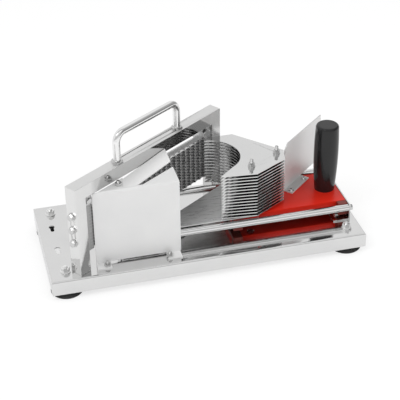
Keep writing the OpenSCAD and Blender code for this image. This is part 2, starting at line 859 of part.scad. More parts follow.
module pusher_nuts() {
  color("silver") on_base() for (p = pusher_bolts_at)
    translate([p[0], p[1], stack_top + washer_t]) nut(m5_af, m5, m5_nut);
}

// Hand guard: an upright sheet with a screwed foot, between the pusher and the hand
module hand_guard() {
  color("silver") in_hand() difference() {
    union() {
      cube([guard_l, sheet_t, guard_h]);
      translate([0, -hand_foot_w, 0]) cube([hand_foot_l, hand_foot_w + sheet_t, sheet_t]);
    }
    translate([hand_foot_l, -cut, -cut]) cube([guard_l, sheet_t + 2 * cut, hand_lift + cut]);
    translate([0, -cut, guard_h]) rotate([0, 45, 0])
      translate([-hand_corner, 0, -hand_corner]) cube([2 * hand_corner, sheet_t + 2 * cut, 2 * hand_corner]);
    for (x = hand_screws_x) translate([x, hand_screw_y, sheet_t]) hole(m4, 2 * sheet_t);
  }
}

module hand_guard_screws() {
  color("silver") in_hand() for (x = hand_screws_x)
    translate([x, hand_screw_y, sheet_t]) pan_screw(sheet_t + screw_hole - screw_spare);
}

// Grip: a barrel, slimmer at its foot, with a round top edge and a pressed-in cap
module handle_grip() {
  color("#262626") on_base() translate([grip_at[0], grip_at[1], board_top]) difference() {
    rotate_extrude() difference() {
      intersection() {
        square([grip_d, grip_h]);
        translate([grip_d / 2 - grip_arc, grip_belly]) circle(r = grip_arc, $fn = 360);
      }
      translate([grip_top_r - grip_edge, grip_h - grip_edge]) difference() {
        square(2 * grip_edge);
        circle(r = grip_edge);
      }
    }
    translate([0, 0, -cut]) cylinder(d = m8 + 2 * hole_gap, h = grip_bore + cut);
    translate([0, 0, grip_h - cap_h]) cylinder(d = cap_d + 2 * hole_gap, h = cap_h + cut);
  }
}

module grip_cap() {
  color("#303030") on_base() translate([grip_at[0], grip_at[1], board_top + grip_h - cap_h])
    cylinder(d = cap_d, h = cap_h);
}

module handle_bolt() {
  seat = board_z + counterbore;
  color("silver") on_base() translate([grip_at[0], grip_at[1], seat]) mirror([0, 0, 1])
    hex_bolt(m8_af, m8_head, m8, board_top - seat + grip_bore - 4);
}

base_panel();
base_sides();
rubber_feet();
foot_bolts();
foot_washers();
blade_frame();
frame_plugs();
frame_bolts();
carry_handle();
carry_nuts();
left_post();
right_post();
post_bolts();
post_washers();
blades();
blade_pins();
top_bar();
clamp_bolts();
clamp_nuts();
front_guard();
guard_bolts();
guard_nuts();
blade_cover();
cover_bolt();
cover_nut();
front_rod();
rear_rod();
right_bracket();
left_bracket();
rod_bolts();
bracket_bolts();
bracket_nuts();
slide_board();
glide_bars();
glide_screws();
tray_plate();
tray_screws();
pusher_plates();
pusher_spacers();
pusher_bolts();
pusher_washers();
pusher_nuts();
hand_guard();
hand_guard_screws();
handle_grip();
grip_cap();
handle_bolt();
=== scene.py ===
import json
import math
from collections import namedtuple

import bpy
from mathutils import Matrix, Vector

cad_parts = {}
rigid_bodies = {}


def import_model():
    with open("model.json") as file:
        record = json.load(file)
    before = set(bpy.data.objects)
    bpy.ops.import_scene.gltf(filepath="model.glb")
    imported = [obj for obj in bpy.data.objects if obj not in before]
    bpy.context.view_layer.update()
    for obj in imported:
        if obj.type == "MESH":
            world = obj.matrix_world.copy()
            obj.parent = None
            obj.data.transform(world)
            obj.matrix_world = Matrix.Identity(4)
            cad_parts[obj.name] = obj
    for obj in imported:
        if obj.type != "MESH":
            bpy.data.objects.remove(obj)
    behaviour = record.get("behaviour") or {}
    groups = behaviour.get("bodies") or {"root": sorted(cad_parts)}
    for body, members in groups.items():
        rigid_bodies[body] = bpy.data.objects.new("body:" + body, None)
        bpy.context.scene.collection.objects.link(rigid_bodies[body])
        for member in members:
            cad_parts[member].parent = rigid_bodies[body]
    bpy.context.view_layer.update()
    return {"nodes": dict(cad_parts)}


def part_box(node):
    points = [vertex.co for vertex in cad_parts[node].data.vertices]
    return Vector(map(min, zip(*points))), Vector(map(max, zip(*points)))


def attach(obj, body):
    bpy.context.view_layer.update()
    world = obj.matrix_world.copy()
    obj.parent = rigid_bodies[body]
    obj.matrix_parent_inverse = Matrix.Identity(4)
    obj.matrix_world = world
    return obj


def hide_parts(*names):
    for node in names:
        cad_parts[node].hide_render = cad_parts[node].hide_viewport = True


for old in list(bpy.data.objects):
    bpy.data.objects.remove(old, do_unlink=True)

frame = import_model()
nodes = frame["nodes"]
scene = bpy.context.scene
MM = 0.001


# Camera, fitted to the photograph

CAMERA_AT = (-0.3127, -1.2763, 0.9088)
CAMERA_YAW = math.radians(13.992)
CAMERA_TILT = math.radians(32.743)
CAMERA_ROLL = math.radians(-0.737)
CAMERA_LENS = 102.667
SENSOR_WIDTH = 36
NEAREST = 0.05


def add_camera():
    ahead = Vector((math.sin(CAMERA_YAW) * math.cos(CAMERA_TILT),
                    math.cos(CAMERA_YAW) * math.cos(CAMERA_TILT),
                    -math.sin(CAMERA_TILT)))
    level = Vector((math.cos(CAMERA_YAW), -math.sin(CAMERA_YAW), 0))
    upright = level.cross(ahead)
    right = math.cos(CAMERA_ROLL) * level + math.sin(CAMERA_ROLL) * upright
    up = math.cos(CAMERA_ROLL) * upright - math.sin(CAMERA_ROLL) * level
    data = bpy.data.cameras.new("camera")
    data.sensor_width = SENSOR_WIDTH
    data.lens = CAMERA_LENS
    data.clip_start = NEAREST
    camera = bpy.data.objects.new("camera", data)
    place = Matrix((right, up, -ahead)).transposed().to_4x4()
    place.translation = CAMERA_AT
    camera.matrix_world = place
    scene.collection.objects.link(camera)
    scene.camera = camera


# Short calls for shader nodes

def node(tree, kind, operation=None, **values):
    """A new node, with the given values on its inputs."""
    made = tree.nodes.new(kind)
    if operation:
        made.operation = operation
    for name, value in values.items():
        made.inputs[name.replace("_", " ")].default_value = value
    return made


def combine(tree, operation, a, b):
    made = node(tree, "ShaderNodeMath", operation)
    tree.links.new(a, made.inputs[0])
    tree.links.new(b, made.inputs[1])
    return made.outputs[0]


def map_range(tree, value, low, high, start, end):
    """Low where the value is at start, high where it is at end."""
    made = node(tree, "ShaderNodeMapRange", From_Min=start, From_Max=end, To_Min=low, To_Max=high)
    tree.links.new(value, made.inputs["Value"])
    return made.outputs[0]


def color_ramp(tree, value, stops):
    """A colour for each value, between stops of (value, colour)."""
    made = node(tree, "ShaderNodeValToRGB")
    elements = made.color_ramp.elements
    while len(elements) < len(stops):
        elements.new(0.5)
    for element, (spot, color) in zip(elements, stops):
        element.position = spot
        element.color = (*color, 1)
    tree.links.new(value, made.inputs["Fac"])
    return made.outputs["Color"]


# Materials

class Shader:
    """A Principled material with short calls for what gives it its detail."""

    def __init__(self, name, color, metallic, roughness):
        self.mat = bpy.data.materials.new(name)
        self.mat.use_nodes = True
        self.mat.diffuse_color = (*color, 1)
        self.tree = self.mat.node_tree
        self.tree.nodes.clear()
        out = node(self.tree, "ShaderNodeOutputMaterial")
        self.bsdf = node(self.tree, "ShaderNodeBsdfPrincipled", Base_Color=(*color, 1),
                         Metallic=metallic, Roughness=roughness)
        self.tree.links.new(self.bsdf.outputs[0], out.inputs[0])
        self.coord = node(self.tree, "ShaderNodeTexCoord").outputs["Object"]

    def noise(self, scale, stretch=(1, 1, 1), detail=3, turn=(0, 0, 0)):
        """Noise whose space is first turned, then stretched."""
        turned = node(self.tree, "ShaderNodeMapping", Rotation=turn)
        stretched = node(self.tree, "ShaderNodeMapping", Scale=stretch)
        texture = node(self.tree, "ShaderNodeTexNoise", Scale=scale, Detail=detail)
        self.tree.links.new(self.coord, turned.inputs["Vector"])
        self.tree.links.new(turned.outputs[0], stretched.inputs["Vector"])
        self.tree.links.new(stretched.outputs[0], texture.inputs["Vector"])
        return texture.outputs["Fac"]

    def ramp(self, value, low, high, start=0.3, end=0.7):
        return map_range(self.tree, value, low, high, start, end)

    def split(self, vector):
        parts = node(self.tree, "ShaderNodeSeparateXYZ")
        self.tree.links.new(vector, parts.inputs[0])
        return parts.outputs

    def place(self, axis):
        """Where a point lies along an axis, in metres."""
        return self.split(self.coord)[axis]

    def level(self):
        """How far a face looks up: 1 on a flat top, 0 on an upright face."""
        return self.split(node(self.tree, "ShaderNodeNewGeometry").outputs["Normal"])["Z"]

    def colors(self, value, stops):
        self.tree.links.new(color_ramp(self.tree, value, stops), self.bsdf.inputs["Base Color"])

    def rough(self, value):
        self.tree.links.new(value, self.bsdf.inputs["Roughness"])

    def bump(self, *layers):
        """Layers of (height, distance, strength), one on top of the other."""
        last = None
        for height, distance, strength in layers:
            made = node(self.tree, "ShaderNodeBump", Distance=distance, Strength=strength)
            self.tree.links.new(height, made.inputs["Height"])
            if last:
                self.tree.links.new(last, made.inputs["Normal"])
            last = made.outputs[0]
        self.tree.links.new(last, self.bsdf.inputs["Normal"])


PORTAL_ANGLE = math.radians(35)
SLANT = (0, 0, -PORTAL_ANGLE)
BRUSH_X = (0.03, 1, 1)
FINE_X = (0.02, 1, 1)
BLADE_X = (0.1, 1, 1)
PLATE_Y = (1, 0.04, 1)
BLADE_Y = (1, 0.1, 1)
BRUSH_Z = (1, 1, 0.3)
CLOUD_SCALE = 26
GRAIN_SCALE = 1600
GRAIN_DEPTH, GRAIN_STRENGTH = 0.00001, 0.15
WAVE_SCALE, WAVE_DEPTH = 9, 0.001
SHEET_WAVES, THIN_WAVES, ROUND_WAVES = 0.03, 0.012, 0.008
# Where painted shade and highlight start and stop changing, in metres: the tube's shade below the
# portal's top and from the portal's left end, and the red board's highlight from its front edge
BEAM_SHADE_FADE = 0.042, 0.0175
LEG_SHADE_FADE = 0.03262, 0.03962
BOARD_HIGHLIGHT_FADE = -0.008, 0.018


def add_brush(s, grain, waves):
    """Long waves in the metal, under a fine grain."""
    s.bump((s.noise(WAVE_SCALE, detail=1), WAVE_DEPTH, waves), (grain, GRAIN_DEPTH, GRAIN_STRENGTH))


def steel(name, grey, rough, waves=THIN_WAVES, brush=BRUSH_X, turn=(0, 0, 0), metal=1):
    """Brushed stainless. A metal below 1 mixes in a matt grey, for a satin sheet."""
    s = Shader(name, (grey, grey, grey * 0.995), metal, rough)
    pale = (grey * 1.02, grey * 1.02, grey * 1.015)
    s.colors(s.noise(CLOUD_SCALE, detail=4), [(0.25, (grey * 0.97,) * 3), (0.75, pale)])
    grain = s.noise(GRAIN_SCALE, brush, turn=turn)
    s.rough(s.ramp(grain, rough * 0.85, rough * 1.15))
    add_brush(s, grain, waves)
    return s.mat


def tube_steel():
    """Portal tube: satin on top and polished on its sides. Painted shade makes the beam's upright
    sides a darker grey than its top and the legs, standing in for darker reflections.
    """
    pale, dark = (0.78, 0.78, 0.776), (0.61, 0.61, 0.607)
    low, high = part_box("blade_frame")
    s = Shader("stainless_tube", pale, 1, 0.09)
    share = s.ramp(s.level(), 0, 1, 0.5, 0.9)
    below_beam = s.ramp(s.place("Z"), 1, 0, *(high.z - depth for depth in BEAM_SHADE_FADE))
    at_left_leg = s.ramp(s.place("X"), 1, 0, *(low.x + way for way in LEG_SHADE_FADE))
    for pale_part in (below_beam, at_left_leg):
        share = combine(s.tree, "MAXIMUM", share, pale_part)
    # Painted shade: the beam's upright sides take the darker grey, the top and the legs stay pale
    s.colors(share, [(0, dark), (1, pale)])
    s.rough(s.ramp(s.level(), 0.1, 0.4, 0.15, 0.5))
    add_brush(s, s.noise(GRAIN_SCALE, BRUSH_X, turn=SLANT), THIN_WAVES)
    return s.mat


def hand_steel():
    """Satin sheet: pale where it stands up, with painted shade on its foot, a darker grainy grey
    standing in for darker reflections.
    """
    upright, foot = (0.88, 0.88, 0.876), (0.6, 0.6, 0.597)
    s = Shader("stainless_hand_guard", (0.62, 0.62, 0.62), 0.35, 0.45)
    # Painted shade: the flat foot takes the darker grey, the upright face the pale one
    s.colors(s.ramp(s.level(), 0, 1, 0.5, 0.95), [(0, upright), (1, foot)])
    grain = s.noise(900, (1, 1, 0.4), detail=4)
    s.rough(s.ramp(grain, 0.38, 0.55))
    s.bump((grain, 0.00004, 0.3), (s.noise(WAVE_SCALE, detail=1), WAVE_DEPTH, 0.02))
    return s.mat


def red_plastic():
    """Red board with a painted highlight along its front edge, standing in for the light the rod
    throws back.
    """
    inner, edge = (0.64, 0.019, 0.008), (0.88, 0.027, 0.01)
    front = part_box("slide_board")[0].y
    s = Shader("red_plastic", (0.66, 0.02, 0.009), 0, 0.36)
    cloud = s.noise(40, detail=4)
    # Painted highlight: the red turns brighter towards the front edge, where the edge colour is used
    edge_highlight = s.ramp(s.place("Y"), 1, 0, *(front + way for way in BOARD_HIGHLIGHT_FADE))
    share = combine(s.tree, "MULTIPLY", edge_highlight, s.ramp(cloud, 0.8, 1))
    s.colors(share, [(0, inner), (1, edge)])
    s.rough(s.ramp(cloud, 0.29, 0.4))
    s.bump((s.noise(1400, detail=2), 0.00006, 0.2), (s.noise(60, detail=1), 0.0004, 0.05))
    s.bsdf.inputs["Specular IOR Level"].default_value = 0.35
    return s.mat


def glide_plastic():
    s = Shader("glide_plastic", (0.2, 0.03, 0.02), 0, 0.42)
    cloud = s.noise(70, detail=4)
    s.colors(cloud, [(0.2, (0.17, 0.025, 0.018)), (0.8, (0.23, 0.034, 0.023))])
    s.rough(s.ramp(cloud, 0.36, 0.5))
    s.bump((s.noise(900, detail=2), 0.00006, 0.3))
    return s.mat


def grip_plastic():
    s = Shader("grip_plastic", (0.011, 0.011, 0.0115), 0, 0.26)
    cloud = s.noise(45, detail=4)
    s.colors(cloud, [(0.2, (0.009, 0.009, 0.0095)), (0.8, (0.013, 0.013, 0.0135))])
    s.rough(s.ramp(cloud, 0.12, 0.18))
    s.bump((s.noise(1500, detail=2), 0.00002, 0.15), (s.noise(30, detail=1), 0.001, 0.02))
    s.bsdf.inputs["Specular IOR Level"].default_value = 0.44
    return s.mat


def rubber():
    s = Shader("black_rubber", (0.018, 0.018, 0.018), 0, 0.62)
    cloud = s.noise(60, detail=5)
    s.colors(cloud, [(0.2, (0.013, 0.013, 0.013)), (0.8, (0.026, 0.026, 0.026))])
    s.rough(s.ramp(cloud, 0.55, 0.72))
    s.bump((s.noise(1100, detail=3), 0.0001, 0.35))
    return s.mat


sheet = steel("stainless_sheet", grey=0.76, rough=0.1, waves=SHEET_WAVES)
guard_sheet = steel("stainless_guard", grey=0.86, rough=0.48, metal=0.3)
cover_sheet = steel("stainless_cover", grey=0.97, rough=0.45, turn=SLANT, metal=0.3)
cartridge = steel("stainless_cartridge", grey=0.82, rough=0.45, turn=SLANT, metal=0.7)
comb = steel("stainless_comb", grey=0.45, rough=0.45, turn=SLANT, metal=0.7)
plate = steel("stainless_plate", grey=0.75, rough=0.1, brush=PLATE_Y)
rod = steel("bright_rod", grey=0.76, rough=0.11, waves=ROUND_WAVES, brush=FINE_X)
handle = steel("handle_rod", grey=0.9, rough=0.13, waves=ROUND_WAVES, brush=FINE_X, turn=SLANT)
tray_sheet = steel("stainless_tray", grey=0.8, rough=0.3, metal=0.7)
fastener = steel("fastener_steel", grey=0.64, rough=0.13, waves=ROUND_WAVES, brush=BRUSH_Z)
foot_fastener = steel("foot_fastener_steel", grey=0.88, rough=0.13, waves=ROUND_WAVES, brush=BRUSH_Z)
# Painted shade: the blades' flat faces are a dark steel standing in for the shade between the blades;
# the ground hollows are a satin steel
blade_flat_painted_shade = steel("blade_steel", grey=0.2, rough=0.2, waves=ROUND_WAVES, brush=BLADE_X, turn=SLANT)
blade_ground = steel("blade_ground", grey=0.9, rough=0.5, waves=ROUND_WAVES, brush=BLADE_Y, turn=SLANT)
red, glide, black, foot_rubber = red_plastic(), glide_plastic(), grip_plastic(), rubber()

# Nodes that aren't named here have the fasteners' steel
FINISH = {
    "base_panel": sheet, "base_sides": sheet, "left_bracket": sheet, "right_bracket": sheet,
    "blade_frame": tube_steel(), "front_guard": guard_sheet, "blade_cover": cover_sheet,
    "tray_plate": tray_sheet, "hand_guard": hand_steel(), "left_post": comb,
    "right_post": cartridge, "top_bar": cartridge, "pusher_plates": plate, "front_rod": rod,
    "rear_rod": rod, "carry_handle": handle, "slide_board": red, "glide_bars": glide,
    "handle_grip": black, "grip_cap": black, "rubber_feet": foot_rubber,
    "frame_plugs": foot_rubber, "foot_washers": foot_fastener,
}

# The small round edges of shown nodes, in millimetres
EDGE = {
    "blade_frame": 1.2, "front_guard": 0.3, "blade_cover": 0.3, "tray_plate": 0.3,
    "hand_guard": 0.4, "right_bracket": 0.4, "left_bracket": 0.4, "left_post": 0.3,
    "right_post": 0.3, "top_bar": 0.4, "pusher_plates": 0.25, "slide_board": 1.2,
    "glide_bars": 0.6, "clamp_nuts": 0.4, "foot_washers": 0.3, "post_washers": 0.3,
    "pusher_washers": 0.3, "grip_cap": 0.4, "tray_screws": 0.4, "front_rod": 0.6,
    "rear_rod": 0.6, "frame_bolts": 0.5,
}
EDGE_SEGMENTS = 2
EDGE_ANGLE = math.radians(35)
WELD_GAP = 2e-6
NODE_SHARP, PIECE_SHARP = 32, 22


def smooth_group(limit):
    """Faces shaded smooth, with edges over the limit, in degrees, kept sharp."""
    g = bpy.data.node_groups.new("smooth_by_angle_%d" % limit, "GeometryNodeTree")
    g.interface.new_socket("Geometry", in_out="INPUT", socket_type="NodeSocketGeometry")
    g.interface.new_socket("Geometry", in_out="OUTPUT", socket_type="NodeSocketGeometry")
    start, end = g.nodes.new("NodeGroupInput"), g.nodes.new("NodeGroupOutput")
    faces = g.nodes.new("GeometryNodeSetShadeSmooth")
    edges = g.nodes.new("GeometryNodeSetShadeSmooth")
    edges.domain = "EDGE"
    angle = g.nodes.new("GeometryNodeInputMeshEdgeAngle")
    gentle = g.nodes.new("FunctionNodeCompare")
    gentle.operation = "LESS_THAN"
    gentle.inputs["B"].default_value = math.radians(limit)
    g.links.new(start.outputs[0], faces.inputs["Geometry"])
    g.links.new(faces.outputs[0], edges.inputs["Geometry"])
    g.links.new(angle.outputs["Unsigned Angle"], gentle.inputs["A"])
    g.links.new(gentle.outputs[0], edges.inputs["Shade Smooth"])
    g.links.new(edges.outputs[0], end.inputs[0])
    return g


def add_smooth(ob, group):
    ob.modifiers.new("smooth", "NODES").node_group = group
    ob.modifiers.new("even", "WEIGHTED_NORMAL").keep_sharp = True


def dress_nodes():
    group = smooth_group(NODE_SHARP)
    for name, ob in nodes.items():
        ob.data.materials.clear()
        ob.data.materials.append(FINISH.get(name, fastener))
        ob.modifiers.new("weld", "WELD").merge_threshold = WELD_GAP
        if name in EDGE:
            bevel = ob.modifiers.new("edges", "BEVEL")
            bevel.width = EDGE[name] * MM
            bevel.segments = EDGE_SEGMENTS
            bevel.limit_method = "ANGLE"
            bevel.angle_limit = EDGE_ANGLE
        add_smooth(ob, group)


# Fasteners and blades, finer than the frame's plain shapes. Sizes are in millimetres, and
# places come from the frame's solids.

SIDES = 48
CHAMFER = math.radians(30)
CHAMFER_R = 0.475
Size = namedtuple("Size", "d pitch af thread_rise")
M5 = Size(d=5, pitch=0.8, af=8, thread_rise=0.1)
M6 = Size(d=6, pitch=1, af=10, thread_rise=0.2)
HEAD, LOW_HEAD, FOOT_NUT = 3.5, 2.6, 5
BIG_CLAMP_AF, BIG_CLAMP_HEAD = 12, 5.5
CARRY_D, CARRY_AF = 10, 14
SCREW_D, SCREW_HEAD_D, SCREW_HEAD = 4, 8.4, 2.4
FOOT_STUD_RISE = 3.4
HAND_ANGLE = math.radians(42.5)
UP, FRONT, LEFT, RIGHT = (0, 0, 1), (0, -1, 0), (-1, 0, 0), (1, 0, 0)


def solids(name, base):
    """The lowest and highest corner of each of a node's solids, in the base's own axes."""
    mesh = nodes[name].data
    spots = [tuple(round(c / MM, 3) for c in v.co) for v in mesh.vertices]
    owner = {spot: spot for spot in spots}

    def first(spot):
        while owner[spot] != spot:
            owner[spot] = owner[owner[spot]]
            spot = owner[spot]
        return spot

    for face in mesh.polygons:
        for k in face.vertices:
            owner[first(spots[k])] = first(spots[face.vertices[0]])
    inward = base.inverted()
    parts = {}
    for v, spot in zip(mesh.vertices, spots):
        parts.setdefault(first(spot), []).append(inward @ (v.co / MM))
    boxes = [(Vector(map(min, zip(*p))), Vector(map(max, zip(*p)))) for p in parts.values()]
    return sorted(boxes, key=lambda box: tuple(round(c, 2) for c in box[0]))


# Axes of the base's top, of the slanted portal, from its own corner, and of the hand guard
deck = Matrix.Translation((0, 0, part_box("base_panel")[1].z / MM))
slanted = deck @ Matrix.Rotation(PORTAL_ANGLE, 4, "Z")
portal = slanted @ Matrix.Translation(solids("blade_frame", slanted)[0][0])
hand = deck @ Matrix.Rotation(HAND_ANGLE, 4, "Z")


def at(x, y, z, base=deck):
    return base @ Matrix.Translation((x, y, z))


def towards(point, axis, base=deck):
    """A place whose own z runs along the axis, with a hexagon's corners up."""
    turn = Vector(axis).to_track_quat("Z", "Y").to_matrix().to_4x4()
    return at(*point, base) @ turn @ Matrix.Rotation(math.pi / 2, 4, "Z")


def under_head(low, high, axis, head):
    """The point where a bolt's head starts, and the length of its shank, from its box."""
    axis = Vector(axis)
    length = abs(axis.dot(high - low))
    return (low + high) / 2 + axis * (length / 2 - head), length - head


def circle(r, z):
    turns = [2 * math.pi * k / SIDES for k in range(SIDES)]
    return [(r * math.cos(a), r * math.sin(a), z) for a in turns]


def hexagon(af, z, chamfer=0):
    """A hexagon across flats af. With a chamfer of 1 or -1 its corners fall or rise."""
    row = []
    for k in range(SIDES):
        a = 2 * math.pi * k / SIDES
        r = af / 2 / math.cos(a % (math.pi / 3) - math.pi / 6)
        fall = max(0, r - CHAMFER_R * af) * math.tan(CHAMFER) * chamfer
        row.append((r * math.cos(a), r * math.sin(a), z - fall))
    return row


class Solid:
    """Points and faces, skinned row by row. Faces in second take the second material."""

    def __init__(self):
        self.points, self.faces, self.second = [], [], []

    def add(self, where, points):
        self.points += [where @ Vector(p) for p in points]
        return len(self.points) - len(points)

    def skin(self, where, rows, ring=False):
        """Rows of equal length, joined; the ends are capped, or joined to each other."""
        n, count = len(rows[0]), len(rows)
        first = self.add(where, [p for row in rows for p in row])
        for j in range(count if ring else count - 1):
            a, b = first + j * n, first + (j + 1) % count * n
            for k in range(n):
                self.faces.append((a + k, a + (k + 1) % n, b + (k + 1) % n, b + k))
        if not ring:
            self.faces.append(tuple(range(first + n - 1, first - 1, -1)))
            self.faces.append(tuple(range(first + (count - 1) * n, first + count * n)))

    def bolt(self, where, d, af, head, length):
        """A hexagon bolt: its head stands on z 0, its shank goes down."""
        tip, dish, dish_rim, dish_floor = 0.5, 0.15, 0.36 * af, 0.33 * af
        self.skin(where, [
            circle(d / 2 - tip, -length), circle(d / 2, -length + tip), circle(d / 2, 0),
            hexagon(af, 0), hexagon(af, head, 1), circle(CHAMFER_R * af, head),
            circle(dish_rim, head), circle(dish_floor, head - dish)])

    def nut(self, where, d, af, height):
        """A hexagon nut that stands on z 0."""
        lead = 0.5
        self.skin(where, [
            hexagon(af, 0), hexagon(af, height, 1), circle(CHAMFER_R * af, height),
            circle(d / 2 + lead, height), circle(d / 2, height - lead), circle(d / 2, 0)], ring=True)

    def stud(self, where, size, low, high, seat, head=0):
        """A stud from low to high, or a bolt with its head below low, threaded above seat."""
        play, tip, point, point_rise = 0.05, 0.3, 0.8, 0.5
        steps_per_turn, slack = 6, 0.01
        r, depth = size.d / 2 - play, size.pitch / 2
        if head:
            bottom = low - head
            rows = [circle(CHAMFER_R * size.af, bottom), hexagon(size.af, bottom, -1),
                    hexagon(size.af, low), circle(r, low)]
        else:
            rows = [circle(size.d / 2 - tip, low), circle(r, low + tip)]
        start = seat + size.thread_rise
        steps = int((high - point_rise - start) / size.pitch * steps_per_turn + slack)
        for j in range(steps + 1):
            z = start + j * size.pitch / steps_per_turn
            row = []
            for k, (x, y, _) in enumerate(circle(1, 0)):
                fold = abs(2 * ((z / size.pitch - k / SIDES) % 1) - 1)
                groove = r - depth * (1 - fold)
                row.append((groove * x, groove * y, z))
            rows.append(row)
        rows.append(circle(size.d / 2 - point, high))
        self.skin(where, rows)

    def screw(self, where, length):
        """A round-headed screw with a hexagon socket."""
        r, tip, rim, rim_in = SCREW_HEAD_D / 2, 0.4, 0.3, 0.2
        dome_end, dome_steps = math.radians(60), 5
        socket_af, socket_floor = 0.33 * SCREW_HEAD_D, 0.4 * SCREW_HEAD
        rows = [circle(SCREW_D / 2 - tip, -length), circle(SCREW_D / 2, -length + tip),
                circle(SCREW_D / 2, 0), circle(r - rim_in, 0), circle(r, rim)]
        for k in range(1, dome_steps + 1):
            a = dome_end * k / dome_steps
            rise = (SCREW_HEAD - rim) * math.sin(a) / math.sin(dome_end)
            rows.append(circle(r * math.cos(a), rim + rise))
        rows += [hexagon(socket_af, SCREW_HEAD), hexagon(socket_af, socket_floor)]
        self.skin(where, rows)

    def holed(self, corners, ring, sides, flip):
        """A four-cornered face with a round hole in it, as two halves."""
        half = sides // 2 + 1
        right = list(corners[:3]) + [ring + (sides // 8 - k) % sides for k in range(half)]
        left = [corners[0]] + [ring + (5 * sides // 8 - k) % sides for k in range(half)]
        left += corners[2:]
        self.faces += [tuple(right[::flip]), tuple(left[::flip])]


crisp = smooth_group(PIECE_SHARP)


def piece(solid, name, body, replaced, mats=(fastener,)):
    mesh = bpy.data.meshes.new(name)
    mesh.from_pydata([tuple(p * MM) for p in solid.points], [], solid.faces)
    for m in mats:
        mesh.materials.append(m)
    for k in solid.second:
        mesh.polygons[k].material_index = 1
    ob = bpy.data.objects.new(name, mesh)
    scene.collection.objects.link(ob)
    add_smooth(ob, crisp)
    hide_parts(replaced)
    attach(ob, body)


def foot_studs():
    """Nuts on studs, taller than the frame's bolt heads."""
    s = Solid()
    seat = solids("foot_washers", deck)[0][1].z
    for low, high in solids("foot_bolts", deck):
        x, y, _ = (low + high) / 2
        s.nut(at(x, y, seat), M6.d, M6.af, FOOT_NUT)
        s.stud(at(x, y, 0), M6, low.z, high.z + FOOT_STUD_RISE, seat)
    piece(s, "foot_bolt_set", "stand", "foot_bolts", mats=[foot_fastener])


def end_bolts(name, replaced, base):
    """Bolts at both ends of a long piece, with their heads outside."""
    s = Solid()
    for low, high in solids(replaced, base):
        axis = LEFT if low.x < 0 else RIGHT
        point, length = under_head(low, high, axis, HEAD)
        s.bolt(towards(point, axis, base), M5.d, M5.af, HEAD, length)
    piece(s, name, "stand", replaced)


def clamp_bolts():
    s = Solid()
    heads = (M5.af, HEAD), (BIG_CLAMP_AF, BIG_CLAMP_HEAD)
    for (low, high), (af, head) in zip(solids("clamp_bolts", portal), heads):
        point, length = under_head(low, high, FRONT, head)
        s.bolt(towards(point, FRONT, portal), M5.d, af, head, length)
    piece(s, "clamp_bolt_set", "stand", "clamp_bolts")


def carry_nuts():
    s = Solid()
    for low, high in solids("carry_nuts", portal):
        x, y, _ = (low + high) / 2
        s.nut(at(x, y, low.z, portal), CARRY_D, CARRY_AF, high.z - low.z)
    piece(s, "carry_nut_set", "stand", "carry_nuts")


def through_bolts(kind, body, bolt_node, nut_node):
    """Bolts from below, with nuts on top."""
    bolts, nuts = Solid(), Solid()
    pairs = zip(solids(bolt_node, deck), solids(nut_node, deck))
    for (low, high), (seat, top) in pairs:
        x, y, _ = (low + high) / 2
        nuts.nut(at(x, y, seat.z), M5.d, M5.af, top.z - seat.z)
        bolts.stud(at(x, y, 0), M5, low.z + HEAD, high.z, seat.z, HEAD)
    piece(nuts, kind + "_nut_set", body, nut_node)
    piece(bolts, kind + "_bolt_set", body, bolt_node)


def bracket_bolts():
    s = Solid()
    for low, high in solids("bracket_bolts", deck):
        point, length = under_head(low, high, UP, LOW_HEAD)
        s.bolt(at(*point), M5.d, M5.af, LOW_HEAD, length)
    piece(s, "bracket_bolt_set", "stand", "bracket_bolts")


def hand_guard_screws():
    s = Solid()
    for low, high in solids("hand_guard_screws", hand):
        point, length = under_head(low, high, UP, SCREW_HEAD)
        s.screw(at(*point, hand), length)
    piece(s, "hand_guard_screw_set", "carriage", "hand_guard_screws")


BLADE_WAVE, BLADE_WAVE_FLAT, BLADE_WAVE_H = 10, 0.6, 2
WAVE_STEPS = 6
EDGE_BEVEL, HOLLOW = 0.3, 3.2
TIP_T = 0.12
LEFT_END, RIGHT_END = 5.5, 5.594
PIN_HOLE_R, PIN_HOLE_SIDES = 2.1, 24
# Corners of a blade's section, and three of its faces, each from the corner it starts at
ROW = 5
UNDER, TOP, GROUND = 0, 2, 3


def blade_cuts(start, end):
    """Along a blade: the way, how deep the edge lies there, and how wide it is ground."""
    inner_left = solids("left_post", portal)[0][1].x
    inner_right = solids("right_post", portal)[0][0].x
    waves = int((inner_right - inner_left) / BLADE_WAVE)
    middle = (inner_left + inner_right - (waves - 1) * BLADE_WAVE) / 2
    chord = BLADE_WAVE - BLADE_WAVE_FLAT
    r = BLADE_WAVE_H / 2 + chord * chord / (8 * BLADE_WAVE_H)
    cuts = [(start, 0, EDGE_BEVEL), (start + LEFT_END, 0, EDGE_BEVEL)]
    for i in range(waves):
        for j in range(-WAVE_STEPS, WAVE_STEPS + 1):
            u = j * chord / 2 / WAVE_STEPS
            depth = max(math.sqrt(r * r - u * u) - (r - BLADE_WAVE_H), 0)
            ground = EDGE_BEVEL + HOLLOW * (1 - (2 * u / BLADE_WAVE) ** 2)
            cuts.append((middle + BLADE_WAVE * i + u, depth, ground))
    return cuts + [(end - RIGHT_END, 0, EDGE_BEVEL), (end, 0, EDGE_BEVEL)]


